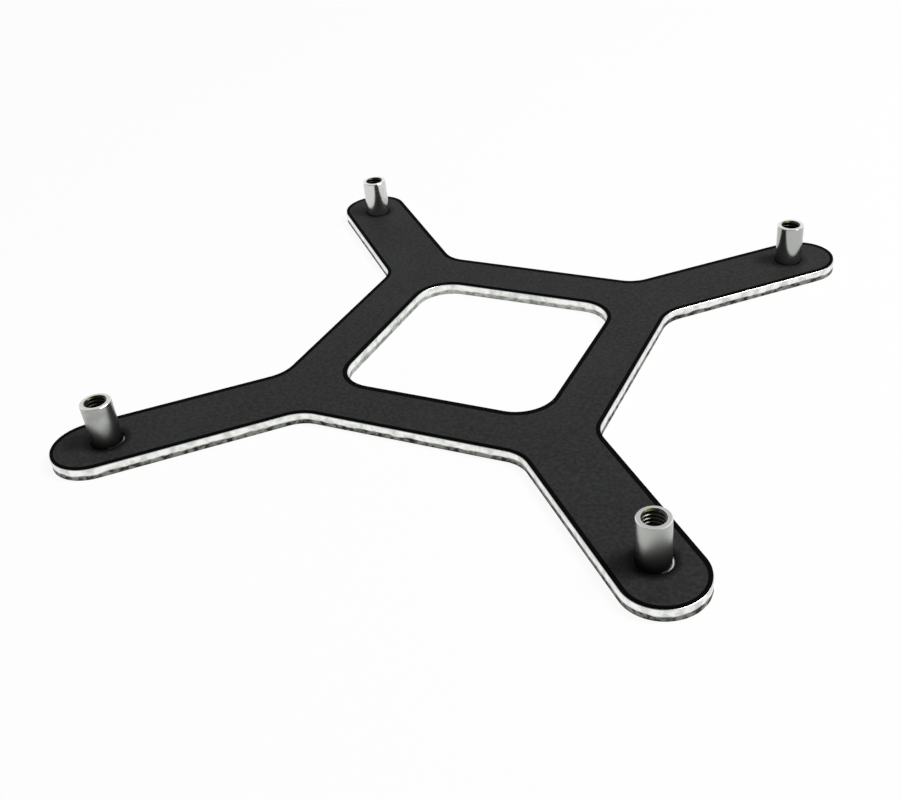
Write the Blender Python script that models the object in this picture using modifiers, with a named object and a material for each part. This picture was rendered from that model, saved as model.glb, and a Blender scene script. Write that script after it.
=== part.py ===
# Cooler backplate for a processor socket: a stamped steel plate, its insulating sheet and
# four pressed-in threaded posts. Metres, +Z up. The origin is the centre of the plate's
# back face, on the surface that the plate lies on. Front is -Y and right is +X.

import math

import bmesh
import bpy
from mathutils import Vector

# Stamped plate, seen from above
POST_PITCH = 0.072  # side of the square on which the four posts stand
RING_SIDE = 0.0455  # outer side of the square ring
WINDOW_SIDE = 0.030  # opening behind the socket
WINDOW_CORNER_R = 0.005
ARM_WIDTH = 0.0104  # each arm ends in a full half circle of this width
ARM_REACH = 0.002  # from a post's axis to the centre of the arm's round end
ARM_FILLET_R = 0.0048  # where an arm leaves the ring
PLATE_T = 0.0016
PLATE_EDGE_R = 0.00015  # edges rounded by stamping and tumbling

# Insulating sheet, glued to the plate's top face
SHEET_T = 0.00025
GLUE_T = 0.00005  # glue line between the plate and the sheet
SHEET_INSET = 0.0001  # the sheet's cut edge stands this far inside the plate's
SHEET_HOLE_MARGIN = 0.00015  # bare metal left round each post

# Threaded post: a hexagonal head, a clinch groove, a round barrel and a through bore
BARREL_D = 0.0039
BARREL_RISE = 0.0061  # above the plate's top face
BARREL_EDGE = 0.0001  # chamfer round the barrel's top
BORE_D = 0.0025  # cut for a 3 mm thread
MOUTH_CHAMFER = 0.00015  # lead-in at both ends of the bore
HEAD_ACROSS_FLATS = 0.0052
HEAD_T = 0.0009
HEAD_RECESS = 0.00005  # the head stands this far inside the plate's back face
HEAD_EDGE = 0.0001
GROOVE_DEPTH = 0.00015  # the plate's metal closes into this groove above the head
GROOVE_T = 0.00035

PRESS_CLEARANCE = 0.00005  # kept all round a pressed-in post
CUT_MARGIN = 0.001  # how far a cutter runs past the face that it cuts

ARC_STEP_DEG = 7.5
ROUND_SIDES = 36
SMOOTH_BELOW_DEG = 30
WELD_DISTANCE = 1e-7

POST_CORNERS = {
    "front_left": (-1, -1),
    "front_right": (1, -1),
    "back_right": (1, 1),
    "back_left": (-1, 1),
}


def clear_scene():
    for obj in list(bpy.data.objects):
        bpy.data.objects.remove(obj, do_unlink=True)


def new_collection(name):
    collection = bpy.data.collections.new(name)
    bpy.context.scene.collection.children.link(collection)
    return collection


def material(name, colour, roughness, metallic):
    made = bpy.data.materials.new(name)
    made.use_nodes = True
    shader = made.node_tree.nodes["Principled BSDF"]
    shader.inputs["Base Color"].default_value = (*colour, 1.0)
    shader.inputs["Roughness"].default_value = roughness
    shader.inputs["Metallic"].default_value = metallic
    return made


def smooth(mesh):
    mesh.shade_smooth()
    mesh.set_sharp_from_angle(angle=math.radians(SMOOTH_BELOW_DEG))


# Flat outlines


def arc(centre_x, centre_y, radius, start_deg, end_deg):
    """Points on an arc, both ends included, about ARC_STEP_DEG apart."""
    steps = max(2, round(abs(end_deg - start_deg) / ARC_STEP_DEG))
    points = []
    for i in range(steps + 1):
        angle = math.radians(start_deg + (end_deg - start_deg) * i / steps)
        points.append((centre_x + radius * math.cos(angle), centre_y + radius * math.sin(angle)))
    return points


def four_times(points):
    """The points of one corner, repeated at each quarter turn about the origin."""
    corners = list(points)
    for _ in range(3):
        points = [(-y, x) for x, y in points]
        corners += points
    return corners


def cross_outline(inset=0.0):
    """The square ring with its four arms. A positive inset draws every edge inwards."""
    half_side = RING_SIDE / 2 - inset
    half_width = ARM_WIDTH / 2 - inset
    fillet = ARM_FILLET_R + inset
    end_centre = POST_PITCH / 2 + ARM_REACH / math.sqrt(2)
    # The fillet's centre lies one radius off the ring's side and one off the arm's side.
    across = half_side + fillet
    along = across - math.sqrt(2) * (half_width + fillet)
    one_arm = arc(across, along, fillet, 180, 135)
    one_arm += arc(end_centre, end_centre, half_width, -45, 135)
    one_arm += arc(along, across, fillet, -45, -90)
    return four_times(one_arm)


def window_outline(inset=0.0):
    """The rounded square opening. A positive inset makes it larger, as it eats into the ring."""
    radius = WINDOW_CORNER_R + inset
    corner_centre = WINDOW_SIDE / 2 - WINDOW_CORNER_R
    return four_times(arc(corner_centre, corner_centre, radius, 0, 90))


def round_hole(centre_x, centre_y, radius):
    circle = arc(centre_x, centre_y, radius, 0, 360)
    return circle[:-1]


def post_centres():
    half = POST_PITCH / 2
    return {name: (x * half, y * half) for name, (x, y) in POST_CORNERS.items()}


def flat_piece(name, outlines, bottom, thickness, edge_radius, collection):
    """A filled 2D curve given its thickness, made a closed mesh so that it can be cut."""
    curve = bpy.data.curves.new(name, "CURVE")
    curve.dimensions = "2D"
    curve.fill_mode = "BOTH"
    curve.extrude = thickness / 2 - edge_radius
    curve.bevel_depth = edge_radius
    curve.bevel_resolution = 1
    curve.offset = -edge_radius
    for outline in outlines:
        spline = curve.splines.new("POLY")
        spline.points.add(len(outline) - 1)
        for point, (x, y) in zip(spline.points, outline):
            point.co = (x, y, 0.0, 1.0)
        spline.use_cyclic_u = True
    guide = bpy.data.objects.new(name + "_curve", curve)
    collection.objects.link(guide)
    guide.location.z = bottom + thickness / 2
    graph = bpy.context.evaluated_depsgraph_get()
    mesh = bpy.data.meshes.new_from_object(guide.evaluated_get(graph))
    mesh.name = name
    shape = bmesh.new()
    shape.from_mesh(mesh)
    bmesh.ops.remove_doubles(shape, verts=shape.verts, dist=WELD_DISTANCE)
    shape.to_mesh(mesh)
    shape.free()
    piece = bpy.data.objects.new(name, mesh)
    piece.matrix_world = guide.matrix_world
    bpy.data.objects.remove(guide, do_unlink=True)
    collection.objects.link(piece)
    return piece


# Turned and hexagonal shapes


def turned_object(name, profile, collection):
    """A closed half section, as (radius, height) points down its outer side, swept round +Z."""
    mesh = bpy.data.meshes.new(name)
    shape = bmesh.new()
    points = [shape.verts.new((radius, 0.0, height)) for radius, height in profile]
    for first, second in zip(points, points[1:]):
        shape.edges.new((first, second))
    shape.to_mesh(mesh)
    shape.free()
    piece = bpy.data.objects.new(name, mesh)
    collection.objects.link(piece)
    sweep = piece.modifiers.new("Turn", "SCREW")
    sweep.steps = ROUND_SIDES
    sweep.render_steps = ROUND_SIDES
    sweep.use_merge_vertices = True
    sweep.merge_threshold = WELD_DISTANCE
    return piece


def hexagon_object(name, across_flats, bottom, top, edge, collection):
    """A hexagonal prism with its flats facing +X and -X, and its bottom edge broken."""
    mesh = bpy.data.meshes.new(name)
    shape = bmesh.new()
    corner_radius = across_flats / math.sqrt(3)
    bmesh.ops.create_cone(
        shape,
        cap_ends=True,
        segments=6,
        radius1=corner_radius,
        radius2=corner_radius,
        depth=top - bottom,
    )
    bmesh.ops.translate(shape, verts=shape.verts, vec=Vector((0, 0, (top + bottom) / 2)))
    if edge:
        rim = [e for e in shape.edges if all(abs(v.co.z - bottom) < WELD_DISTANCE for v in e.verts)]
        bmesh.ops.bevel(
            shape, geom=rim, offset=edge, affect="EDGES", segments=1, profile=0.5, material=-1
        )
    shape.to_mesh(mesh)
    shape.free()
    piece = bpy.data.objects.new(name, mesh)
    collection.objects.link(piece)
    return piece


def boolean(target, operation, other):
    step = target.modifiers.new(operation.title() + " " + other.name, "BOOLEAN")
    step.operation = operation
    step.solver = "EXACT"
    step.object = other
    return step


def as_helper(obj):
    obj.hide_render = True
    obj.display_type = "WIRE"


# Threaded post, with its local origin on the axis at the plate's back face


def barrel_profile():
    outer = BARREL_D / 2
    neck = outer - GROOVE_DEPTH
    top = PLATE_T + BARREL_RISE
    groove_bottom = HEAD_RECESS + HEAD_T
    root = (HEAD_RECESS + groove_bottom) / 2
    return [
        (0.0, top),
        (outer - BARREL_EDGE, top),
        (outer, top - BARREL_EDGE),
        (outer, groove_bottom + GROOVE_T),
        (neck, groove_bottom + GROOVE_T),
        (neck, root),
        (0.0, root),
    ]


def bore_profile():
    bore = BORE_D / 2
    top = PLATE_T + BARREL_RISE
    bottom = HEAD_RECESS
    mouth = bore + MOUTH_CHAMFER
    return [
        (0.0, top + CUT_MARGIN),
        (mouth + CUT_MARGIN, top + CUT_MARGIN),
        (bore, top - MOUTH_CHAMFER),
        (bore, bottom + MOUTH_CHAMFER),
        (mouth + CUT_MARGIN, bottom - CUT_MARGIN),
        (0.0, bottom - CUT_MARGIN),
    ]


def threaded_posts(centres, collection, helpers, finish):
    barrel = turned_object("post_barrel", barrel_profile(), helpers)
    bore = turned_object("post_bore", bore_profile(), helpers)
    head = hexagon_object(
        "post_head", HEAD_ACROSS_FLATS, HEAD_RECESS, HEAD_RECESS + HEAD_T, HEAD_EDGE, helpers
    )
    boolean(head, "UNION", barrel)
    boolean(head, "DIFFERENCE", bore)
    graph = bpy.context.evaluated_depsgraph_get()
    mesh = bpy.data.meshes.new_from_object(head.evaluated_get(graph))
    mesh.name = "threaded_post"
    mesh.materials.clear()
    mesh.materials.append(finish)
    smooth(mesh)
    for helper in (barrel, bore, head):
        as_helper(helper)
    posts = []
    for corner, (x, y) in centres.items():
        post = bpy.data.objects.new("threaded_post_" + corner, mesh)
        post.location = (x, y, 0.0)
        collection.objects.link(post)
        posts.append(post)
    return posts


# Plate and sheet


def seat_profile():
    """The plate's stepped hole: it closes into the post's groove, and clears the barrel above."""
    barrel = BARREL_D / 2 + PRESS_CLEARANCE
    lip = BARREL_D / 2 - GROOVE_DEPTH + PRESS_CLEARANCE
    lip_top = HEAD_RECESS + HEAD_T + GROOVE_T - PRESS_CLEARANCE
    return [
        (0.0, PLATE_T + CUT_MARGIN),
        (barrel, PLATE_T + CUT_MARGIN),
        (barrel, lip_top),
        (lip, lip_top),
        (lip, -CUT_MARGIN),
        (0.0, -CUT_MARGIN),
    ]


def steel_plate(centres, collection, helpers, finish):
    plate = flat_piece(
        "steel_plate",
        [cross_outline(), window_outline()],
        0.0,
        PLATE_T,
        PLATE_EDGE_R,
        collection,
    )
    pocket_top = HEAD_RECESS + HEAD_T + PRESS_CLEARANCE
    for corner, (x, y) in centres.items():
        seat = turned_object("seat_" + corner, seat_profile(), helpers)
        pocket = hexagon_object(
            "pocket_" + corner,
            HEAD_ACROSS_FLATS + 2 * PRESS_CLEARANCE,
            -CUT_MARGIN,
            pocket_top,
            0.0,
            helpers,
        )
        for cutter in (seat, pocket):
            cutter.location = (x, y, 0.0)
            as_helper(cutter)
            boolean(plate, "DIFFERENCE", cutter)
    plate.data.materials.append(finish)
    smooth(plate.data)
    return plate


def insulating_sheet(centres, collection, finish):
    hole_r = BARREL_D / 2 + SHEET_HOLE_MARGIN
    outlines = [cross_outline(SHEET_INSET), window_outline(SHEET_INSET)]
    outlines += [round_hole(x, y, hole_r) for x, y in centres.values()]
    sheet = flat_piece("insulating_sheet", outlines, PLATE_T + GLUE_T, SHEET_T, 0.0, collection)
    sheet.data.materials.append(finish)
    smooth(sheet.data)
    return sheet


def main():
    clear_scene()
    parts = new_collection("cooler_backplate")
    helpers = new_collection("cutters")
    steel = material("zinc_plated_steel", (0.72, 0.73, 0.73), 0.32, 1.0)
    film = material("black_film", (0.034, 0.035, 0.034), 0.72, 0.0)
    nickel = material("bright_plated_steel", (0.80, 0.80, 0.78), 0.20, 1.0)
    base = bpy.data.objects.new("backplate_origin", None)
    parts.objects.link(base)
    centres = post_centres()
    pieces = [steel_plate(centres, parts, helpers, steel)]
    pieces.append(insulating_sheet(centres, parts, film))
    pieces += threaded_posts(centres, parts, helpers, nickel)
    for piece in pieces:
        piece.parent = base


main()
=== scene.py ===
# %% [markdown]
# # A cooler backplate in its finishes
#
# The object is the plate that sits behind a processor socket and takes the cooler's screws. It
# is a stamped steel cross, a black insulating sheet glued on its top face and four threaded
# posts pressed into the ends of its arms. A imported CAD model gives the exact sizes. This lesson
# builds the surfaces that a camera sees: rounded rims, a sheared edge, a real thread, and the
# finishes. It starts by loading the CAD model as a frame that nothing here moves.

# %% Load the frame
import math

import bmesh
import bpy
from mathutils import Matrix, Vector, noise


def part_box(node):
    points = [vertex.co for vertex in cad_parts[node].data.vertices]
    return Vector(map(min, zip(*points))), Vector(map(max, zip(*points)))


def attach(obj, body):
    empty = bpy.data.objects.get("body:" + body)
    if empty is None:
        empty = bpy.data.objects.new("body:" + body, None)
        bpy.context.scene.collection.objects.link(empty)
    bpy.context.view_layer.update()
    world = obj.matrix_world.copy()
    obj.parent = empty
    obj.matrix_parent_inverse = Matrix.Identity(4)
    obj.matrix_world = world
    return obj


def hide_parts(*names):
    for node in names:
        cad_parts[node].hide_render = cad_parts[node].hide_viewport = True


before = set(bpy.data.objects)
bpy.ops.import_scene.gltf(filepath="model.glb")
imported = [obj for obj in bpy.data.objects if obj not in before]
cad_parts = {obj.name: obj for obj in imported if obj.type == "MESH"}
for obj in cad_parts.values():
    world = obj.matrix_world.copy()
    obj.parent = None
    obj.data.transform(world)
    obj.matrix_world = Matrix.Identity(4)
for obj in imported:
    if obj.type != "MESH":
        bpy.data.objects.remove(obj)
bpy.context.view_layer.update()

# %% [markdown]
# ## Sizes
#
# Heights and post positions are read from the frame, so the new surfaces land where the solids
# are. A box says nothing of the outline between its corners, so the few sizes that draw the
# outline are written here again, in metres, as they are in the CAD source.

# %% Sizes of the stamping
RING_SIDE = 0.0455
WINDOW_SIDE = 0.030
WINDOW_CORNER_R = 0.005
ARM_WIDTH = 0.0104
ARM_FILLET_R = 0.0048

plate_low, plate_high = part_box("steel_plate")
sheet_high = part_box("insulating_sheet")[1]
PLATE_T = plate_high.z - plate_low.z
END_CENTRE = plate_high.x - ARM_WIDTH / 2
SHEET_INSET = plate_high.x - sheet_high.x
print("plate thickness, mm:", round(PLATE_T * 1000, 3))
print("centre of an arm's round end, mm:", round(END_CENTRE * 1000, 3))

# %% Places and sizes of the posts
post_boxes = {name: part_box(name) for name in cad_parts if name.startswith("threaded_post")}
POST_CENTRES = {name: (low + high) / 2 for name, (low, high) in post_boxes.items()}
POST_BOTTOM = min(low.z for low, high in post_boxes.values())
POST_TOP = max(high.z for low, high in post_boxes.values())
BARREL_R = 0.00195
BORE_R = 0.00125
HEXAGON_SIDES = 6
HEAD_ACROSS_FLATS = 0.0052
HEAD_T = 0.0009
HEAD_TOP = POST_BOTTOM + HEAD_T
print("posts stand from", round(POST_BOTTOM * 1000, 3), "to", round(POST_TOP * 1000, 3), "mm")

# %% [markdown]
# ## Camera
#
# The photograph was taken from the front right, from about a third of a right angle above the
# table, with the camera tilted a few degrees and the picture cropped off-centre. Those few
# facts are enough: a direction, a roll, a place and a small lens shift. The turn is put
# together from the direction and the roll, and not from three angles found by trial.

# %% Camera
VIEW_AZIMUTH = math.radians(24.61)
VIEW_ELEVATION = math.radians(33.12)
CAMERA_ROLL = math.radians(-4.28)
CAMERA_PLACE = Vector((0.06046, -0.11884, 0.08006))
LENS_MM = 43.86
CROP_SHIFT = (-0.0814, -0.0120)
NEAR_CLIP = 0.001


def new_object(name, data):
    """Makes an object of its data and puts it in the scene."""
    made = bpy.data.objects.new(name, data)
    bpy.context.scene.collection.objects.link(made)
    return made


def look_back(azimuth, elevation):
    """The direction from the object to a camera or lamp; azimuth 0 stands in front, at -Y."""
    flat = math.cos(elevation)
    return Vector((math.sin(azimuth) * flat, -math.cos(azimuth) * flat, math.sin(elevation)))


camera_data = bpy.data.cameras.new("camera")
camera_data.lens = LENS_MM
camera_data.shift_x, camera_data.shift_y = CROP_SHIFT
camera_data.clip_start = NEAR_CLIP
camera = new_object("camera", camera_data)
upright = look_back(VIEW_AZIMUTH, VIEW_ELEVATION).to_track_quat("Z", "Y").to_matrix()
turn = upright @ Matrix.Rotation(CAMERA_ROLL, 3, "Z")
camera.matrix_world = Matrix.Translation(CAMERA_PLACE) @ turn.to_4x4()
bpy.context.scene.camera = camera
bpy.context.scene.view_settings.view_transform = "Standard"
print("camera looks along", [round(c, 3) for c in -turn.col[2]])

# %% [markdown]
# ## Studio
#
# The part lies on white paper under soft light, and the picture's background is white. A lit
# floor alone would be grey where the light falls off, so camera and mirror rays also find
# white light in it: Light Path tells them apart. The lit share stays in, because it carries
# the shadow where the plate touches the paper. The world is treated the same way, so bright
# metal mirrors a white room while the lamp and a dim sky do the lighting. The room is white
# at eye level and grey overhead, as a studio's ceiling is, which gives turned metal its tones.
# Farther out the paper fades to plain white, so no horizon shows.

# %% Node helpers
NODE_SPACING = 220


def add_node(tree, kind, column=0, row=0, sockets=None, **settings):
    """A new node on a rough grid, with the values of its sockets and its own settings."""
    node = tree.nodes.new(kind)
    node.location = (column * NODE_SPACING, -row * NODE_SPACING)
    for name, value in settings.items():
        setattr(node, name, value)
    for name, value in (sockets or {}).items():
        node.inputs[name].default_value = value
    return node


def feed(tree, value, socket):
    """Links another socket to this one, or writes a plain value into it."""
    if isinstance(value, bpy.types.NodeSocket):
        tree.links.new(value, socket)
    else:
        socket.default_value = value


def calculate(tree, operation, *values, column=-5, row=0):
    """One step of arithmetic on sockets or plain numbers."""
    node = add_node(tree, "ShaderNodeMath", column, row, operation=operation)
    for value, socket in zip(values, node.inputs):
        feed(tree, value, socket)
    return node.outputs[0]


def soft_step(tree, value, low, high, column=-4, row=0, lowest=0.0):
    """The lowest value below low and 1 above high, with a soft step between."""
    node = add_node(tree, "ShaderNodeMapRange", column, row, interpolation_type="SMOOTHSTEP")
    feed(tree, value, node.inputs["Value"])
    feed(tree, low, node.inputs["From Min"])
    feed(tree, high, node.inputs["From Max"])
    feed(tree, lowest, node.inputs["To Min"])
    return node.outputs[0]


def seen_directly(tree):
    """1 for rays from the camera, from a mirror or through glass, and 0 for all others."""
    ray = add_node(tree, "ShaderNodeLightPath", -4, 0).outputs
    first = calculate(tree, "MAXIMUM", ray["Is Camera Ray"], ray["Is Glossy Ray"], column=-3)
    return calculate(tree, "MAXIMUM", first, ray["Is Transmission Ray"], column=-2)


# %% Mixing helpers
# A mix node has sockets for every kind of data: two inputs and a result for each kind used here.
MIX_SOCKETS = {"RGBA": (6, 7, 2), "FLOAT": (2, 3, 0)}


def mix(tree, kind, factor, first, second, column=-3, row=0):
    """The first value where the factor is 0, and the second where it is 1."""
    place_of_first, place_of_second, place_of_result = MIX_SOCKETS[kind]
    node = add_node(tree, "ShaderNodeMix", column, row, data_type=kind)
    feed(tree, factor, node.inputs[0])
    feed(tree, first, node.inputs[place_of_first])
    feed(tree, second, node.inputs[place_of_second])
    return node.outputs[place_of_result]


def mix_colour(tree, factor, first, second, **place):
    return mix(tree, "RGBA", factor, first, second, **place)


def mix_value(tree, factor, first, second, **place):
    return mix(tree, "FLOAT", factor, first, second, **place)


# %% White room
ROOM_LIGHT = (0.32, 0.32, 0.32, 1.0)
WHITE = (1.0, 1.0, 1.0, 1.0)
CEILING_GREY = (0.30, 0.30, 0.30, 1.0)
WALL_TOP = 0.25
CEILING = 0.85

world = bpy.data.worlds.new("white_room")
bpy.context.scene.world = world
world.use_nodes = True
tree = world.node_tree
direction = add_node(tree, "ShaderNodeTexCoord", -5, 2)
height = add_node(tree, "ShaderNodeSeparateXYZ", -4, 2)
tree.links.new(direction.outputs["Generated"], height.inputs[0])
upwards = soft_step(tree, height.outputs["Z"], WALL_TOP, CEILING, column=-3, row=2)
mirrored = mix_colour(tree, upwards, WHITE, CEILING_GREY, column=-2, row=2)
room = mix_colour(tree, seen_directly(tree), ROOM_LIGHT, mirrored, column=-1)
tree.links.new(room, tree.nodes["Background"].inputs["Color"])

# %% Paper floor
FLOOR_HALF = 1.5
FLOOR_DROP = 0.00001
PAPER_COLOUR = (0.90, 0.90, 0.895, 1.0)
PAPER_WHITENING = 0.92
FADE_FROM = 0.15
FADE_TO = 0.60


def object_from(name, shape):
    """Turns a bmesh into an object in the scene."""
    mesh = bpy.data.meshes.new(name)
    shape.to_mesh(mesh)
    shape.free()
    return new_object(name, mesh)


shape = bmesh.new()
bmesh.ops.create_grid(shape, x_segments=1, y_segments=1, size=FLOOR_HALF)
bmesh.ops.translate(shape, verts=shape.verts, vec=(0, 0, -FLOOR_DROP))
floor = object_from("paper_floor", shape)

paper = bpy.data.materials.new("white_paper")
paper.use_nodes = True
tree = paper.node_tree
tree.nodes.remove(tree.nodes["Principled BSDF"])
lit = add_node(tree, "ShaderNodeBsdfDiffuse", -1, 1, {"Color": PAPER_COLOUR})
glow = add_node(tree, "ShaderNodeEmission", -1, 2, {"Color": WHITE, "Strength": 1.0})
where = add_node(tree, "ShaderNodeTexCoord", -5, -1)
from_middle = add_node(tree, "ShaderNodeVectorMath", -4, -1, operation="LENGTH")
tree.links.new(where.outputs["Object"], from_middle.inputs[0])
whiteness = soft_step(
    tree,
    from_middle.outputs["Value"],
    FADE_FROM,
    FADE_TO,
    column=-3,
    row=-1,
    lowest=PAPER_WHITENING,
)
share = calculate(tree, "MULTIPLY", seen_directly(tree), whiteness, column=-1)
blend = add_node(tree, "ShaderNodeMixShader", 0, 0)
tree.links.new(share, blend.inputs["Fac"])
tree.links.new(lit.outputs[0], blend.inputs[1])
tree.links.new(glow.outputs[0], blend.inputs[2])
tree.links.new(blend.outputs[0], tree.nodes["Material Output"].inputs["Surface"])
floor.data.materials.append(paper)

# %% Lamp
LAMP_AZIMUTH = math.radians(112)
LAMP_ELEVATION = math.radians(58)
LAMP_DISTANCE = 0.60
LAMP_SIZE = 0.20
LAMP_WATTS = 2.7

softbox = bpy.data.lights.new("key_softbox", "AREA")
softbox.size = LAMP_SIZE
softbox.energy = LAMP_WATTS
towards_lamp = look_back(LAMP_AZIMUTH, LAMP_ELEVATION)
turn = towards_lamp.to_track_quat("Z", "Y").to_matrix().to_4x4()
lamp = new_object("key_softbox", softbox)
lamp.matrix_world = Matrix.Translation(towards_lamp * LAMP_DISTANCE) @ turn
print("lamp at, mm:", [round(c * 1000) for c in lamp.matrix_world.translation])

# %% [markdown]
# ## Drawing the outline
#
# The die that cut the plate has straight sides and true arcs, so the outline is drawn the way
# one would draw it on paper. A single vertex is the pen: extruding it draws a line, and spinning
# it about a centre draws an exact arc. Only one arm is drawn. A second spin, with duplicates,
# repeats it at each quarter turn, and merging the doubles joins the four quarters.

# %% Pen
EDGE_STEP = 0.0002
WELD = 1e-7


def line_to(shape, pen, x, y):
    tip = bmesh.ops.extrude_vert_indiv(shape, verts=[pen])["verts"][0]
    tip.co = (x, y, pen.co.z)
    return tip


def arc_about(shape, pen, x, y, degrees):
    centre = Vector((x, y, pen.co.z))
    angle = math.radians(degrees)
    steps = math.ceil((pen.co - centre).length * abs(angle) / EDGE_STEP)
    drawn = bmesh.ops.spin(
        shape, geom=[pen], cent=centre, axis=(0, 0, 1), angle=angle, steps=steps
    )
    return drawn["geom_last"][0]


def repeat_the_quarter(shape):
    """Splits the long lines, repeats what is drawn at each quarter turn and joins the ends."""
    for edge in shape.edges[:]:
        pieces = math.ceil(edge.calc_length() / EDGE_STEP)
        if pieces > 1:
            bmesh.ops.subdivide_edges(shape, edges=[edge], cuts=pieces - 1)
    bmesh.ops.spin(
        shape,
        geom=shape.verts[:] + shape.edges[:],
        cent=(0, 0, 0),
        axis=(0, 0, 1),
        angle=math.radians(270),
        steps=3,
        use_duplicate=True,
    )
    bmesh.ops.remove_doubles(shape, verts=shape.verts, dist=WELD)


# %% Cross and window
def draw_cross_quarter(shape, inset, level):
    half_side = RING_SIDE / 2 - inset
    half_width = ARM_WIDTH / 2 - inset
    fillet = ARM_FILLET_R + inset
    across = half_side + fillet
    along = across - math.sqrt(2) * (half_width + fillet)
    diagonal = math.sqrt(0.5)
    pen = shape.verts.new((half_side, 0, level))
    pen = line_to(shape, pen, half_side, along)
    pen = arc_about(shape, pen, across, along, -45)
    sideways = half_width * diagonal
    pen = line_to(shape, pen, END_CENTRE + sideways, END_CENTRE - sideways)
    pen = arc_about(shape, pen, END_CENTRE, END_CENTRE, 180)
    pen = line_to(shape, pen, along + fillet * diagonal, across - fillet * diagonal)
    pen = arc_about(shape, pen, along, across, -45)
    line_to(shape, pen, 0, half_side)


def draw_window_quarter(shape, inset, level):
    half_side = WINDOW_SIDE / 2 + inset
    corner = WINDOW_SIDE / 2 - WINDOW_CORNER_R
    pen = shape.verts.new((half_side, 0, level))
    pen = line_to(shape, pen, half_side, corner)
    pen = arc_about(shape, pen, corner, corner, 90)
    line_to(shape, pen, 0, half_side)


def draw_outline(shape, inset, level):
    """The cross and its window, both drawn a little inside the metal where there is an inset."""
    draw_cross_quarter(shape, inset, level)
    draw_window_quarter(shape, inset, level)
    repeat_the_quarter(shape)


def draw_circle(shape, centre, radius, level, sides):
    place = Matrix.Translation((centre.x, centre.y, level))
    drawn = bmesh.ops.create_circle(shape, segments=sides, radius=radius, matrix=place)
    return list({edge for vert in drawn["verts"] for edge in vert.link_edges})


# %% [markdown]
# ## From outline to sheet metal
#
# Each flat piece is the same job. The drawn edges are extruded up, which gives the cut wall,
# and the two open levels are filled. The rims then get their rounding with a few insets, each
# a little narrower and higher than the one before, as the angle runs through a quarter turn.
# A last narrow inset keeps the smooth shading of the rim off the flat face.

# %% Wall, fill and rim
RIM_STEPS = 4
SHADING_RING = 0.00012
SHARP_ANGLE = math.radians(35)


def only(kind, found):
    return [item for item in found if isinstance(item, kind)]


def raise_wall(shape, edges, height):
    """Extrudes edges straight up and returns the edges at the new level."""
    raised = bmesh.ops.extrude_edge_only(shape, edges=edges)["geom"]
    bmesh.ops.translate(shape, verts=only(bmesh.types.BMVert, raised), vec=(0, 0, height))
    return only(bmesh.types.BMEdge, raised)


def fill_level(shape, edges):
    filled = bmesh.ops.triangle_fill(shape, edges=edges, use_beauty=True, normal=(0, 0, 1))
    return only(bmesh.types.BMFace, filled["geom"])


def inset_once(shape, faces, thickness, depth):
    bmesh.ops.inset_region(
        shape,
        faces=faces,
        use_boundary=True,
        use_even_offset=True,
        thickness=thickness,
        depth=depth,
    )


def open_level(shape, faces):
    """Takes the faces of a level away again and returns the edges that bounded them."""
    inside = set(faces)
    border = [
        edge
        for edge in {edge for face in faces for edge in face.edges}
        if not all(face in inside for face in edge.link_faces)
    ]
    bmesh.ops.delete(shape, geom=faces, context="FACES")
    return border


def round_rim(shape, faces, radius):
    """Rounds the rim of a flat level in a quarter turn and leaves the level flat inside it."""
    for step in range(RIM_STEPS):
        start = math.radians(90) * step / RIM_STEPS
        end = math.radians(90) * (step + 1) / RIM_STEPS
        inset_once(
            shape,
            faces,
            radius * (math.cos(start) - math.cos(end)),
            radius * (math.sin(end) - math.sin(start)),
        )
    inset_once(shape, faces, SHADING_RING, 0.0)


def finished_object(name, shape, sharp_angle=SHARP_ANGLE):
    """Turns the bmesh into an object with smooth shading and says how big it is."""
    closed = all(edge.is_manifold for edge in shape.edges)
    piece = object_from(name, shape)
    mesh = piece.data
    mesh.shade_smooth()
    mesh.set_sharp_from_angle(angle=sharp_angle)
    mesh.calc_loop_triangles()
    print(name, len(mesh.loop_triangles), "triangles", "closed" if closed else "open")
    return piece


# %% [markdown]
# ## The stamped plate
#
# A punch leaves its story on the cut edge. The side it enters rolls over, then the metal
# shears smooth and bright, and the last third breaks off rough and slightly undercut. So the
# wall gets a wide rounding on top, a few cuts across it with bisecting planes, and noise that
# pushes the broken third inwards. The posts need a round hole above and a hexagonal pocket
# below, which are walls of their own with a ledge filled between them.

# %% Plate sizes
TOP_RIM_R = 0.00014
BOTTOM_RIM_R = 0.00004
BREAK_LEVEL = 0.00072
BREAK_STEP = 0.00003
BREAK_FOOT = BOTTOM_RIM_R * 1.5
BREAK_CUTS = 5
UNDERCUT = 0.00003
BREAK_BUMP_DEPTH = 0.00004
BREAK_GRAIN = 0.0006
SEAT_CLEARANCE = 0.00001
SEAT_R = BARREL_R + SEAT_CLEARANCE
POCKET_ACROSS_FLATS = HEAD_ACROSS_FLATS + 2 * SEAT_CLEARANCE
POCKET_TOP = HEAD_TOP + SEAT_CLEARANCE
CIRCLE_SIDES = 96


# %% Hexagonal pockets and round seats
def add_seats(shape, foot, top):
    """The stepped hole of each post. Returns the hexagon edges below and the circle edges above."""
    below, above = [], []
    corner_r = POCKET_ACROSS_FLATS / math.sqrt(3)
    for centre in POST_CENTRES.values():
        hexagon = draw_circle(shape, centre, corner_r, foot, HEXAGON_SIDES)
        ledge_outside = raise_wall(shape, hexagon, POCKET_TOP - foot)
        ledge_inside = draw_circle(shape, centre, SEAT_R, POCKET_TOP, CIRCLE_SIDES)
        fill_level(shape, ledge_outside + ledge_inside)
        below += hexagon
        above += raise_wall(shape, ledge_inside, top - POCKET_TOP)
    return below, above


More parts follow.
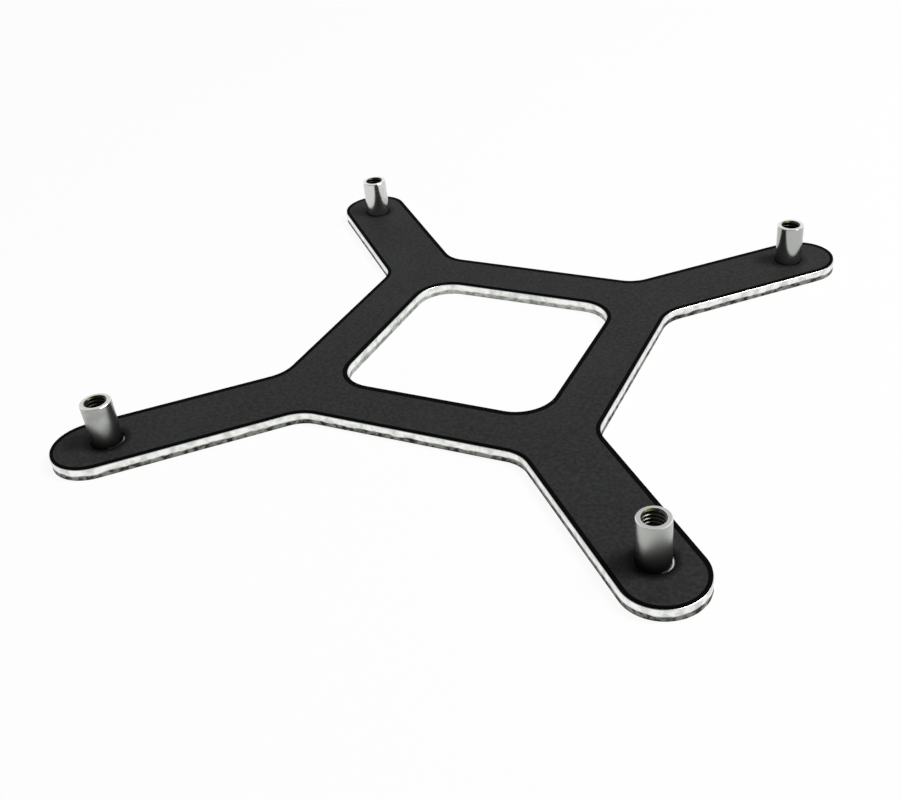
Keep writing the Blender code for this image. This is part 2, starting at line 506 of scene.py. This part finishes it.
# %% Broken part of the edge
def break_the_edge(shape):
    """Cuts the wall at a few levels below the smooth part and roughens what lies between."""
    levels = [BREAK_LEVEL, BREAK_LEVEL - BREAK_STEP]
    for cut in range(1, BREAK_CUTS + 1):
        levels.append(levels[1] + (BREAK_FOOT - levels[1]) * cut / BREAK_CUTS)
    for level in levels:
        bmesh.ops.bisect_plane(
            shape,
            geom=shape.verts[:] + shape.edges[:] + shape.faces[:],
            dist=WELD,
            plane_co=(0, 0, level),
            plane_no=(0, 0, 1),
        )
    shape.normal_update()
    lowered = [v for v in shape.verts if BOTTOM_RIM_R < v.co.z < BREAK_LEVEL - BREAK_STEP / 2]
    pushes = []
    for vert in lowered:
        inwards = -Vector((vert.normal.x, vert.normal.y, 0)).normalized()
        bumps = 0.5 + 0.5 * noise.noise(vert.co / BREAK_GRAIN)
        pushes.append(inwards * (UNDERCUT + BREAK_BUMP_DEPTH * bumps))
    for vert, push in zip(lowered, pushes):
        vert.co += push
    return len(lowered)


# %% Plate mesh
def stamped_plate():
    shape = bmesh.new()
    foot = plate_low.z + BOTTOM_RIM_R
    head = plate_high.z - TOP_RIM_R
    draw_outline(shape, 0.0, foot)
    outline = shape.edges[:]
    upper = raise_wall(shape, outline, head - foot)
    hexagons, circles = add_seats(shape, foot, plate_high.z)
    lower_faces = fill_level(shape, outline + hexagons)
    upper_faces = fill_level(shape, upper)
    bmesh.ops.recalc_face_normals(shape, faces=shape.faces)
    round_rim(shape, lower_faces, BOTTOM_RIM_R)
    round_rim(shape, upper_faces, TOP_RIM_R)
    fill_level(shape, open_level(shape, upper_faces) + circles)
    bmesh.ops.recalc_face_normals(shape, faces=shape.faces)
    print("roughened", break_the_edge(shape), "points of the broken edge")
    return finished_object("plate_stamped", shape)


plate = stamped_plate()
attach(plate, "root")
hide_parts("steel_plate")

# %% [markdown]
# ## The insulating sheet
#
# A quarter-millimetre plastic film keeps the steel off the board's solder joints. A steel-rule
# die cuts it a touch smaller than the plate, with a round hole for each post, and presses the
# rim down as it goes through. It is the plate's outline again, inset, and it starts right on
# the steel, because its glue fills the gap that the CAD solid leaves open. The holes were
# punched a hair off, turned by a twelfth of a degree, so a crescent of bare steel shows at the
# two front posts. The pressed rim is a little wider on one side, where the die came down first.

# %% Sheet sizes
HOLE_CLEARANCE = 0.00015
SHEET_HOLE_R = BARREL_R + HOLE_CLEARANCE
HOLE_TURN = math.radians(0.084)
HOLE_DRIFT = Vector((0.00004, 0.00002, 0))
SHEET_RIM_R = 0.00011
GLUE_LIFT = 0.000004
RIM_BAND = 0.00034
RIM_DRIFT = Vector((0.00012, -0.00030, 0))
PRESSED_RIM = 1
# How far from each post's middle the painted shade on the film reaches.
POST_SHADE_R = 0.0034


# %% Sheet mesh
def film_sheet():
    shape = bmesh.new()
    foot = plate_high.z + GLUE_LIFT
    head = sheet_high.z - SHEET_RIM_R
    draw_outline(shape, SHEET_INSET, foot)
    off_centre = Matrix.Translation(HOLE_DRIFT) @ Matrix.Rotation(HOLE_TURN, 4, "Z")
    for centre in POST_CENTRES.values():
        draw_circle(shape, off_centre @ centre, SHEET_HOLE_R, foot, CIRCLE_SIDES)
    outline = shape.edges[:]
    upper = raise_wall(shape, outline, head - foot)
    fill_level(shape, outline)
    top_faces = fill_level(shape, upper)
    bmesh.ops.recalc_face_normals(shape, faces=shape.faces)
    round_rim(shape, top_faces, SHEET_RIM_R)
    inset_once(shape, top_faces, RIM_BAND, 0.0)
    field = set(top_faces)
    field_points = list({vert for face in field for vert in face.verts})
    bmesh.ops.translate(shape, verts=field_points, vec=RIM_DRIFT)
    # Rim faces inside the reach of the painted shade round a post keep the film's own finish.
    for face in shape.faces:
        middle = face.calc_center_median()
        from_post = min((middle.xy - centre.xy).length for centre in POST_CENTRES.values())
        if face not in field and from_post > POST_SHADE_R:
            face.material_index = PRESSED_RIM
    return finished_object("sheet_black", shape)


sheet = film_sheet()
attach(sheet, "root")
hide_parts("insulating_sheet")

# %% [markdown]
# ## The threaded posts
#
# A post is turned from hexagonal bar on a lathe, which gives the barrel and its groove. Then it
# is bored, with a chamfer at both mouths, and a tap cuts the thread last. The lesson does the
# same. The barrel and the bore are each a profile of a few points, spun through a full turn.
# The hexagonal head is a six-sided cone primitive, and the tap is a ridge that a spin with a
# rise per step carries up as a helix. Booleans join the head and cut the bore and the thread.
# Where two cuts meet they leave crumbs of edges and faces with many corners. Those are tidied
# once the bore is marked: a mark goes by the middle of a whole face, and a cut face keeps it.

# %% Post sizes
BARREL_EDGE = 0.0001
GROOVE_DEPTH = 0.00015
GROOVE_T = 0.00035
MOUTH_CHAMFER = 0.00015
HEAD_EDGE = 0.0001
HEAD_EDGE_STEPS = 2
THREAD_PITCH = 0.0005
THREAD_ROOT_R = 0.0015
THREAD_FLAT = THREAD_PITCH / 8
THREAD_SLOPE = math.tan(math.radians(30))
THREAD_STEPS = 48
TAP_OVERLAP = 0.00005
CUT_MARGIN = 0.001
CRUMB = 0.000002
LEVEL_NORMAL = 0.95
TURN_STEPS = 96
POST_SHARP_ANGLE = math.radians(30)


# %% Turning and carving helpers
def turned(profile):
    """A closed half section of (radius, height) points, swept through a full turn."""
    shape = bmesh.new()
    points = [shape.verts.new((radius, 0, height)) for radius, height in profile]
    for start, end in zip(points, points[1:]):
        shape.edges.new((start, end))
    bmesh.ops.spin(
        shape,
        geom=shape.verts[:] + shape.edges[:],
        cent=(0, 0, 0),
        axis=(0, 0, 1),
        angle=math.radians(360),
        steps=TURN_STEPS,
        use_merge=True,
    )
    bmesh.ops.remove_doubles(shape, verts=shape.verts, dist=WELD)
    bmesh.ops.recalc_face_normals(shape, faces=shape.faces)
    return shape


def carve(blank, steps):
    """Applies Booleans to a blank in turn and returns the result as a bmesh."""
    for operation, tool in steps:
        cut = blank.modifiers.new(tool.name, "BOOLEAN")
        cut.operation = operation
        cut.solver = "EXACT"
        cut.object = tool
    graph = bpy.context.evaluated_depsgraph_get()
    result = bpy.data.meshes.new_from_object(blank.evaluated_get(graph))
    shape = bmesh.new()
    shape.from_mesh(result)
    bpy.data.meshes.remove(result)
    for used in [blank] + [tool for operation, tool in steps]:
        bpy.data.objects.remove(used, do_unlink=True)
    bmesh.ops.remove_doubles(shape, verts=shape.verts, dist=WELD)
    return shape


# %% Barrel, bore, head and tap
def post_barrel():
    neck_r = BARREL_R - GROOVE_DEPTH
    inside_head = POST_BOTTOM + HEAD_T / 2
    return turned(
        [
            (0.0, POST_TOP),
            (BARREL_R - BARREL_EDGE, POST_TOP),
            (BARREL_R, POST_TOP - BARREL_EDGE),
            (BARREL_R, HEAD_TOP + GROOVE_T),
            (neck_r, HEAD_TOP + GROOVE_T),
            (neck_r, inside_head),
            (0.0, inside_head),
        ]
    )


def post_bore():
    mouth_r = BORE_R + MOUTH_CHAMFER
    return turned(
        [
            (0.0, POST_TOP + CUT_MARGIN),
            (mouth_r + CUT_MARGIN, POST_TOP + CUT_MARGIN),
            (BORE_R, POST_TOP - MOUTH_CHAMFER),
            (BORE_R, POST_BOTTOM + MOUTH_CHAMFER),
            (mouth_r + CUT_MARGIN, POST_BOTTOM - CUT_MARGIN),
            (0.0, POST_BOTTOM - CUT_MARGIN),
        ]
    )


def post_head():
    shape = bmesh.new()
    corner_r = HEAD_ACROSS_FLATS / math.sqrt(3)
    place = Matrix.Translation((0, 0, POST_BOTTOM + HEAD_T / 2))
    bmesh.ops.create_cone(
        shape,
        cap_ends=True,
        segments=HEXAGON_SIDES,
        radius1=corner_r,
        radius2=corner_r,
        depth=HEAD_T,
        matrix=place,
    )
    rim = [e for e in shape.edges if all(v.co.z < POST_BOTTOM + WELD for v in e.verts)]
    bmesh.ops.bevel(
        shape,
        geom=rim,
        offset=HEAD_EDGE,
        affect="EDGES",
        segments=HEAD_EDGE_STEPS,
        profile=0.5,
        material=-1,
    )
    return shape


def thread_tap():
    """A helical ridge, wide inside the bore's wall and narrow at the thread's root."""
    shape = bmesh.new()
    inner_r = BORE_R - TAP_OVERLAP
    half_root = THREAD_FLAT / 2
    half_base = half_root + (THREAD_ROOT_R - inner_r) * THREAD_SLOPE
    start = POST_BOTTOM - THREAD_PITCH
    section = [
        shape.verts.new((inner_r, 0, start - half_base)),
        shape.verts.new((THREAD_ROOT_R, 0, start - half_root)),
        shape.verts.new((THREAD_ROOT_R, 0, start + half_root)),
        shape.verts.new((inner_r, 0, start + half_base)),
    ]
    face = shape.faces.new(section)
    turns = math.ceil((POST_TOP - start) / THREAD_PITCH) + 1
    bmesh.ops.spin(
        shape,
        geom=[face],
        cent=(0, 0, 0),
        axis=(0, 0, 1),
        dvec=(0, 0, THREAD_PITCH / THREAD_STEPS),
        angle=math.radians(360) * turns,
        steps=turns * THREAD_STEPS,
    )
    bmesh.ops.recalc_face_normals(shape, faces=shape.faces)
    return shape


# %% One post, then four
THREAD_TINT = 0.78
POST_SHINE = {
    "threaded_post_back_left": 1.0,
    "threaded_post_back_right": 0.25,
    "threaded_post_front_right": 0.35,
    "threaded_post_front_left": 0.0,
}


def mark_bore(shape):
    """Writes 1 on the mouths and less on the thread, so the finish can tell them apart."""
    inside = shape.faces.layers.float.new("bore")
    mouth_r = BORE_R + MOUTH_CHAMFER
    for face in shape.faces:
        middle = face.calc_center_median()
        in_hole = middle.xy.length < mouth_r and abs(face.normal.z) < LEVEL_NORMAL
        in_mouth = not POST_BOTTOM + MOUTH_CHAMFER < middle.z < POST_TOP - MOUTH_CHAMFER
        if in_hole:
            face[inside] = 1.0 if in_mouth else THREAD_TINT


def tidy_cuts(shape):
    """Removes crumbs of edges and cuts many-sided faces into triangles, which keep their marks."""
    bmesh.ops.dissolve_degenerate(shape, edges=shape.edges, dist=CRUMB)
    many_sided = [face for face in shape.faces if len(face.verts) > 4]
    bmesh.ops.triangulate(shape, faces=many_sided, ngon_method="EAR_CLIP")
    print("cut", len(many_sided), "many-sided faces into triangles")


post_shape = carve(
    object_from("head", post_head()),
    [
        ("UNION", object_from("barrel", post_barrel())),
        ("DIFFERENCE", object_from("bore", post_bore())),
        ("DIFFERENCE", object_from("tap", thread_tap())),
    ],
)
mark_bore(post_shape)
tidy_cuts(post_shape)
posts = []
for name, centre in POST_CENTRES.items():
    placed = post_shape.copy()
    shine = placed.faces.layers.float.new("shine")
    for face in placed.faces:
        face[shine] = POST_SHINE[name]
    bmesh.ops.translate(placed, verts=placed.verts, vec=(centre.x, centre.y, 0))
    post = finished_object(name.replace("threaded_post", "post_tapped"), placed, POST_SHARP_ANGLE)
    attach(post, "root")
    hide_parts(name)
    posts.append(post)
post_shape.free()

# %% [markdown]
# ## Effects that several finishes share
#
# Film, plate and posts are different materials, but all of them need fine grain, cloudy patches,
# hairline scratches or painted shade round the posts. Each effect is a node group, built once, that
# reads the object's own coordinates in metres and puts out one value. A material places it with its
# own size and mixes it into colour, roughness or bump. The painted shade and painted glint round
# the posts need the distance from the nearest post. The posts stand one pitch apart, so wrapping
# the distance from one of them by that pitch gives the distance from each.

# %% Group helper
def value_group(name, inputs):
    """A node group with named inputs and one output called Value. Returns the tree and its ends."""
    group = bpy.data.node_groups.new(name, "ShaderNodeTree")
    for label, kind, default in inputs:
        socket = group.interface.new_socket(label, in_out="INPUT", socket_type=kind)
        socket.default_value = default
    group.interface.new_socket("Value", in_out="OUTPUT", socket_type="NodeSocketFloat")
    start = add_node(group, "NodeGroupInput", -6, 0)
    end = add_node(group, "NodeGroupOutput", 4, 0)
    print("new effect:", name)
    return group, start, end


def sized_coordinates(group, start):
    """Object coordinates turned by the group's Angle and divided by its Size and its Stretch."""
    place = add_node(group, "ShaderNodeTexCoord", -5, 1).outputs["Object"]
    if "Angle" in start.outputs:
        turned_place = add_node(group, "ShaderNodeVectorRotate", -4, 1, rotation_type="Z_AXIS")
        group.links.new(place, turned_place.inputs["Vector"])
        group.links.new(start.outputs["Angle"], turned_place.inputs["Angle"])
        place = turned_place.outputs[0]
    shrink = calculate(group, "DIVIDE", 1.0, start.outputs["Size"], column=-4)
    sized = add_node(group, "ShaderNodeVectorMath", -3, 0, operation="SCALE")
    group.links.new(place, sized.inputs[0])
    group.links.new(shrink, sized.inputs["Scale"])
    if "Stretch" not in start.outputs:
        return sized.outputs[0]
    stretched = add_node(group, "ShaderNodeVectorMath", -2, 0, operation="DIVIDE")
    group.links.new(sized.outputs[0], stretched.inputs[0])
    group.links.new(start.outputs["Stretch"], stretched.inputs[1])
    return stretched.outputs[0]


def add_step(group, start, end, value):
    """A soft step from the group's Low to its High, put out as its Value."""
    step = soft_step(group, value, start.outputs["Low"], start.outputs["High"], column=1)
    group.links.new(step, end.inputs["Value"])


# %% Grain
grain_group, start, end = value_group(
    "fine_grain",
    [
        ("Size", "NodeSocketFloat", 0.0001),
        ("Stretch", "NodeSocketVector", (1.0, 1.0, 1.0)),
        ("Detail", "NodeSocketFloat", 2.0),
    ],
)
grain = add_node(grain_group, "ShaderNodeTexNoise", 0, 0, {"Scale": 1.0, "Roughness": 0.6})
grain_group.links.new(sized_coordinates(grain_group, start), grain.inputs["Vector"])
grain_group.links.new(start.outputs["Detail"], grain.inputs["Detail"])
grain_group.links.new(grain.outputs[0], end.inputs["Value"])

# %% Clouds
cloud_group, start, end = value_group(
    "cloudy_patches",
    [
        ("Size", "NodeSocketFloat", 0.01),
        ("Low", "NodeSocketFloat", 0.45),
        ("High", "NodeSocketFloat", 0.65),
    ],
)
cloud = add_node(
    cloud_group, "ShaderNodeTexNoise", 0, 0, {"Scale": 1.0, "Detail": 3.0, "Roughness": 0.55}
)
cloud_group.links.new(sized_coordinates(cloud_group, start), cloud.inputs["Vector"])
add_step(cloud_group, start, end, cloud.outputs[0])

# %% Hairlines
hairline_group, start, end = value_group(
    "hairlines",
    [
        ("Size", "NodeSocketFloat", 0.0003),
        ("Stretch", "NodeSocketVector", (40.0, 1.0, 1.0)),
        ("Angle", "NodeSocketFloat", 0.0),
        ("Low", "NodeSocketFloat", 0.66),
        ("High", "NodeSocketFloat", 0.72),
    ],
)
line = add_node(hairline_group, "ShaderNodeTexNoise", 0, 0, {"Scale": 1.0, "Detail": 1.0})
hairline_group.links.new(sized_coordinates(hairline_group, start), line.inputs["Vector"])
add_step(hairline_group, start, end, line.outputs[0])

# %% Distance from the nearest post
POST_HALF_PITCH = max(centre.x for centre in POST_CENTRES.values())

reach_group, start, end = value_group(
    "distance_from_post", [("Level", "NodeSocketFloat", 0.0)]
)
reach_group.interface.new_socket("Right", in_out="OUTPUT", socket_type="NodeSocketFloat")
place = add_node(reach_group, "ShaderNodeTexCoord", -6, 1)
post = add_node(
    reach_group, "ShaderNodeCombineXYZ", -6, 0, {"X": POST_HALF_PITCH, "Y": POST_HALF_PITCH}
)
from_one = add_node(reach_group, "ShaderNodeVectorMath", -5, 0, operation="SUBTRACT")
from_each = add_node(reach_group, "ShaderNodeVectorMath", -4, 0, operation="WRAP")
from_each.inputs[1].default_value = (POST_HALF_PITCH,) * 3
from_each.inputs[2].default_value = (-POST_HALF_PITCH,) * 3
away = add_node(reach_group, "ShaderNodeVectorMath", -3, 0, operation="LENGTH")
split = add_node(reach_group, "ShaderNodeSeparateXYZ", -3, 1)
reach_group.links.new(start.outputs["Level"], post.inputs["Z"])
reach_group.links.new(place.outputs["Object"], from_one.inputs[0])
reach_group.links.new(post.outputs[0], from_one.inputs[1])
reach_group.links.new(from_one.outputs[0], from_each.inputs[0])
reach_group.links.new(from_each.outputs[0], away.inputs[0])
reach_group.links.new(from_each.outputs[0], split.inputs[0])
reach_group.links.new(away.outputs["Value"], end.inputs["Value"])
reach_group.links.new(split.outputs["X"], end.inputs["Right"])

# %% Material helpers
PAIR_BLEND = 0.005


def new_finish(name, roughness, metallic, specular=0.5):
    finish = bpy.data.materials.new(name)
    finish.use_nodes = True
    shader = finish.node_tree.nodes["Principled BSDF"]
    shader.inputs["Roughness"].default_value = roughness
    shader.inputs["Metallic"].default_value = metallic
    shader.inputs["Specular IOR Level"].default_value = specular
    print("new finish:", name)
    return finish, finish.node_tree, shader


def use_effect(tree, group, row, **values):
    """Places an effect with its own values and returns the socket that gives its result."""
    node = add_node(tree, "ShaderNodeGroup", -6, row)
    node.node_tree = group
    for label, value in values.items():
        node.inputs[label.title()].default_value = value
    return node.outputs["Value"]


def add_bump(tree, shader, height, distance, strength):
    bump = add_node(tree, "ShaderNodeBump", -1, 6, {"Strength": strength, "Distance": distance})
    tree.links.new(height, bump.inputs["Height"])
    tree.links.new(bump.outputs[0], shader.inputs["Normal"])


def object_axes(tree, row=0):
    """The object's own X, Y and Z as three sockets."""
    where = add_node(tree, "ShaderNodeTexCoord", -8, row)
    split = add_node(tree, "ShaderNodeSeparateXYZ", -7, row)
    tree.links.new(where.outputs["Object"], split.inputs[0])
    return split.outputs["X"], split.outputs["Y"], split.outputs["Z"]


def at_the_back(tree, row=0):
    """0 on the front pair of arms and 1 on the back pair."""
    return soft_step(tree, object_axes(tree, row)[1], -PAIR_BLEND, PAIR_BLEND, row=row)


# %% [markdown]
# ## Black film
#
# The film is a matt plastic: very dark, with the soft sheen of an embossed surface that
# scatters the light. Seen close it has a fine even grain and a few faint rubs from handling.
# Round each post the film is painted darker, a painted shade at the post's foot, and darker still
# at the front pair. The die-cut rim is blacker still, and crisp, so it is a finish of its own on
# the faces that the die bent down.

# %% Black film finish
FILM_DARK = (0.0150, 0.0162, 0.0146, 1)
FILM_RUBBED = (0.0172, 0.0174, 0.0188, 1)
FILM_LINE = (0.031, 0.031, 0.031, 1)
FILM_SPECKLE = (0.037, 0.038, 0.037, 1)
FRONT_POST_SHADE = (0.002, 0.002, 0.0025, 1)
BACK_POST_SHADE = (0.012, 0.012, 0.0125, 1)
POST_SHADE_FADE = (SHEET_HOLE_R + 0.0002, POST_SHADE_R)
FILM_ROUGHNESS = (0.55, 0.72)
RUBBED_ROUGHNESS = 0.56

film, tree, shader = new_finish("black_film", roughness=0.6, metallic=0.0, specular=0.08)
tooth = use_effect(tree, grain_group, 0, size=0.00011, detail=2.0)
rubs = use_effect(tree, cloud_group, 1, size=0.011, high=0.72)
lines = use_effect(
    tree, hairline_group, 2, size=0.00016, stretch=(45.0, 1.0, 1.0), angle=0.6, low=0.71, high=0.77
)
speckle = use_effect(tree, cloud_group, 4, size=0.0005, low=0.22, high=0.88)
# Painted shade: round each post's foot the film is darkened, more at the front pair.
from_post = use_effect(tree, reach_group, 5, level=sheet_high.z)
clear_of_post_shade = soft_step(tree, from_post, *POST_SHADE_FADE, row=5)
post_shade_colour = mix_colour(tree, at_the_back(tree, 6), FRONT_POST_SHADE, BACK_POST_SHADE, row=6)
colour = mix_colour(tree, rubs, FILM_DARK, FILM_RUBBED, row=0)
colour = mix_colour(tree, lines, colour, FILM_LINE, row=1)
colour = mix_colour(tree, speckle, colour, FILM_SPECKLE, row=2)
colour = mix_colour(tree, clear_of_post_shade, post_shade_colour, colour, row=5)
tree.links.new(colour, shader.inputs["Base Color"])
roughness = mix_value(tree, tooth, *FILM_ROUGHNESS, row=3)
roughness = mix_value(tree, rubs, roughness, RUBBED_ROUGHNESS, row=4)
tree.links.new(roughness, shader.inputs["Roughness"])
add_bump(tree, shader, tooth, distance=0.00002, strength=0.6)
sheet.data.materials.append(film)

# %% Die-cut rim of the film
RIM_DARK = (0.0010, 0.0010, 0.0012, 1)
RIM_LIGHT = (0.0050, 0.0050, 0.0052, 1)
RIM_ROUGHNESS = (0.75, 0.95)

film_rim, tree, shader = new_finish("black_film_rim", roughness=0.8, metallic=0.0, specular=0.02)
tooth = use_effect(tree, grain_group, 0, size=0.00022, detail=3.0)
tree.links.new(mix_colour(tree, tooth, RIM_DARK, RIM_LIGHT), shader.inputs["Base Color"])
tree.links.new(mix_value(tree, tooth, *RIM_ROUGHNESS, row=1), shader.inputs["Roughness"])
add_bump(tree, shader, tooth, distance=0.00002, strength=0.4)
sheet.data.materials.append(film_rim)

# %% [markdown]
# ## Plated steel
#
# The plate is zinc plated, so its faces are a soft grey mirror with faint rolling lines. The height
# on the cut edge picks the finish there: the sheared band is smooth, with fine upright streaks from
# the punch, and the broken band below it is grainy and dull. The border between them wanders,
# because the crack did, so a patchy noise is added to the height first. The window was cut with a
# tighter die, so its break is finer and lighter. Round each post a dark matt ring is painted on the
# steel, a painted shade in the gap between post and film. On the right-hand side of the front pair
# the ring is painted bright instead, a painted glint.

# %% Where the plated steel changes
# Each pair of places, in metres, is where a soft step starts and where it ends.
WINDOW_WALL = WINDOW_SIDE / 2 + 0.0005
SEAT_RING_R = SHEET_HOLE_R + 0.0003
ON_WALL = (0.00001, 0.00005)
UNDER_TOP = (PLATE_T - 0.0001, PLATE_T - 0.00005)
SHEARED = (BREAK_LEVEL - 0.0002, BREAK_LEVEL + 0.0001)
OFF_WINDOW = (WINDOW_WALL, WINDOW_WALL + 0.0005)
PAST_RING = (SEAT_RING_R, SEAT_RING_R + 0.0001)
GLINT_SIDE = (0.0012, 0.0016)
BORDER_WANDER = 0.0006


def outside_window(tree, row):
    """0 on the window's wall and 1 on the outline's."""
    across, along = object_axes(tree, row)[:2]
    sizes = [calculate(tree, "ABSOLUTE", axis, column=-6, row=row) for axis in (across, along)]
    farther = calculate(tree, "MAXIMUM", *sizes, row=row)
    return soft_step(tree, farther, *OFF_WINDOW, row=row)


# %% Plated steel finish
FACE_CLEAR = (0.74, 0.75, 0.76, 1)
FACE_HAZY = (0.64, 0.65, 0.66, 1)
SHEAR_BRIGHT = (0.92, 0.93, 0.905, 1)
SHEAR_BLOTCH = (0.62, 0.635, 0.60, 1)
BREAK_PIT = (0.03, 0.03, 0.028, 1)
BREAK_METAL = (0.26, 0.27, 0.25, 1)
FINE_BREAK_METAL = (0.50, 0.51, 0.48, 1)
# Painted shade of the ring round each post's foot, and the painted glint on its right-hand side.
RING_PAINTED_SHADE = (0.03, 0.03, 0.03, 1)
RING_PAINTED_GLINT = (0.72, 0.72, 0.70, 1)
FACE_ROUGHNESS = (0.26, 0.40)
SHEAR_ROUGHNESS = (0.14, 0.26)
BROKEN_ROUGHNESS = 0.62
SHADE_RING_ROUGHNESS = 0.8

steel, tree, shader = new_finish("plate_steel", roughness=0.3, metallic=1.0)
level = object_axes(tree)[2]
wander = use_effect(tree, grain_group, 1, size=0.0016, detail=1.0)
offset = calculate(tree, "MULTIPLY_ADD", wander, BORDER_WANDER, -BORDER_WANDER / 2, row=1)
wandering_level = calculate(tree, "ADD", level, offset)
on_wall = soft_step(tree, level, *ON_WALL, row=2)
under_top = soft_step(tree, level, *UNDER_TOP, row=3)
sheared = soft_step(tree, wandering_level, *SHEARED, row=4)

rolling = use_effect(tree, grain_group, 5, size=0.00008, stretch=(60.0, 1.0, 1.0), detail=2.0)
haze = use_effect(tree, cloud_group, 6, size=0.008)
streaks = use_effect(tree, grain_group, 7, size=0.00009, stretch=(1.0, 1.0, 14.0), detail=2.0)
crumbs = use_effect(tree, grain_group, 8, size=0.00016, detail=4.0)
blotches = use_effect(tree, cloud_group, 9, size=0.0012, low=0.40, high=0.66)
pits = use_effect(tree, cloud_group, 10, size=0.0009, low=0.36, high=0.60)

face_colour = mix_colour(tree, haze, FACE_CLEAR, FACE_HAZY, row=5)
shear_colour = mix_colour(tree, blotches, SHEAR_BRIGHT, SHEAR_BLOTCH, row=6)
broken_colour = mix_colour(tree, pits, BREAK_PIT, BREAK_METAL, row=7)
fine_break = mix_colour(tree, pits, BREAK_METAL, FINE_BREAK_METAL, row=18)
broken_colour = mix_colour(tree, outside_window(tree, 19), fine_break, broken_colour, row=19)
wall_colour = mix_colour(tree, sheared, broken_colour, shear_colour, row=8)
colour = mix_colour(tree, on_wall, face_colour, wall_colour, row=9)
colour = mix_colour(tree, under_top, colour, face_colour, row=10)
# Painted shade and painted glint: the ring round each post is dark and matt, and bright on the
# right-hand side of the front pair.
from_post = use_effect(tree, reach_group, 21, level=plate_high.z)
plated = soft_step(tree, from_post, *PAST_RING, row=21)
painted_glint = soft_step(tree, from_post.node.outputs["Right"], *GLINT_SIDE, row=25)
painted_glint = mix_value(tree, at_the_back(tree, 24), painted_glint, 0.0, row=24)
painted_ring_colour = mix_colour(tree, painted_glint, RING_PAINTED_SHADE, RING_PAINTED_GLINT, row=25)
colour = mix_colour(tree, plated, painted_ring_colour, colour, row=22)
tree.links.new(plated, shader.inputs["Metallic"])
tree.links.new(colour, shader.inputs["Base Color"])

face_roughness = mix_value(tree, rolling, *FACE_ROUGHNESS, row=11)
shear_roughness = mix_value(tree, streaks, *SHEAR_ROUGHNESS, row=12)
wall_roughness = mix_value(tree, sheared, BROKEN_ROUGHNESS, shear_roughness, row=13)
roughness = mix_value(tree, on_wall, face_roughness, wall_roughness, row=14)
roughness = mix_value(tree, under_top, roughness, face_roughness, row=15)
roughness = mix_value(tree, plated, SHADE_RING_ROUGHNESS, roughness, row=23)
tree.links.new(roughness, shader.inputs["Roughness"])

wall_relief = mix_value(tree, sheared, crumbs, streaks, row=16)
relief = mix_value(tree, on_wall, rolling, wall_relief, row=17)
add_bump(tree, shader, relief, distance=0.00001, strength=0.7)
plate.data.materials.append(steel)

# %% [markdown]
# ## Turned posts
#
# The posts are plated, with the closely spaced rings that a lathe tool leaves, and no two are
# equally bright. The front pair is less glossy, and painted dark towards the foot, a painted shade
# where the foot stands in the black film, while the washers that sat on the ends kept those
# polished. The bore is another matter: plating hardly gets in, so the thread keeps a dark,
# yellowish passivated tint. The marks written on the faces tell the posts and the bores apart.

# %% Turned post finish
# Each pair of heights, in metres, is where a soft step starts and where it ends.
# Painted shade on the front posts, dark at the film and gone by the second height.
FOOT_SHADE_HEIGHTS = (sheet_high.z, sheet_high.z + 0.0038)
ABOVE_HEAD = (HEAD_TOP, HEAD_TOP + 0.0003)
END_FACE = (POST_TOP - BARREL_EDGE, POST_TOP - BARREL_EDGE + 0.00004)
BARREL_DULL = (0.34, 0.35, 0.33, 1)
BARREL_BRIGHT = (0.64, 0.65, 0.625, 1)
BARREL_HAZE = (0.42, 0.43, 0.41, 1)
FOOT_PAINTED_SHADE = (0.12, 0.12, 0.115, 1)
END_POLISHED = (0.86, 0.87, 0.85, 1)
THREAD_OLIVE = (0.035, 0.038, 0.018, 1)
BACK_ROUGHNESS = (0.12, 0.22)
FRONT_ROUGHNESS = (0.24, 0.36)
THREAD_ROUGHNESS = 0.34

bright, tree, shader = new_finish("post_steel", roughness=0.2, metallic=1.0)
rings = use_effect(tree, grain_group, 0, size=0.00007, stretch=(60.0, 60.0, 1.0), detail=2.0)
haze = use_effect(tree, cloud_group, 1, size=0.003)
inside = add_node(tree, "ShaderNodeAttribute", -6, 2, attribute_name="bore").outputs["Fac"]
shine = add_node(tree, "ShaderNodeAttribute", -6, 6, attribute_name="shine").outputs["Fac"]
level = object_axes(tree, 4)[2]
back = at_the_back(tree, 8)
barrel_colour = mix_colour(tree, shine, BARREL_DULL, BARREL_BRIGHT, row=6)
barrel_colour = mix_colour(tree, haze, barrel_colour, BARREL_HAZE, row=0)
# Painted shade: the front posts darken towards the foot.
unshaded = soft_step(tree, level, *FOOT_SHADE_HEIGHTS, row=4)
unshaded = mix_value(tree, back, unshaded, 1.0, row=8)
unshaded = mix_value(tree, soft_step(tree, level, *ABOVE_HEAD, row=11), 1.0, unshaded, row=11)
outer_colour = mix_colour(tree, unshaded, FOOT_PAINTED_SHADE, barrel_colour, row=4)
end_face = soft_step(tree, level, *END_FACE, row=7)
outer_colour = mix_colour(tree, end_face, outer_colour, END_POLISHED, row=7)
colour = mix_colour(tree, inside, outer_colour, THREAD_OLIVE, row=1)
tree.links.new(colour, shader.inputs["Base Color"])
back_roughness = mix_value(tree, rings, *BACK_ROUGHNESS, row=2)
front_roughness = mix_value(tree, rings, *FRONT_ROUGHNESS, row=9)
roughness = mix_value(tree, back, front_roughness, back_roughness, row=10)
roughness = mix_value(tree, inside, roughness, THREAD_ROUGHNESS, row=3)
tree.links.new(roughness, shader.inputs["Roughness"])
add_bump(tree, shader, rings, distance=0.000004, strength=0.25)
for post in posts:
    post.data.materials.append(bright)
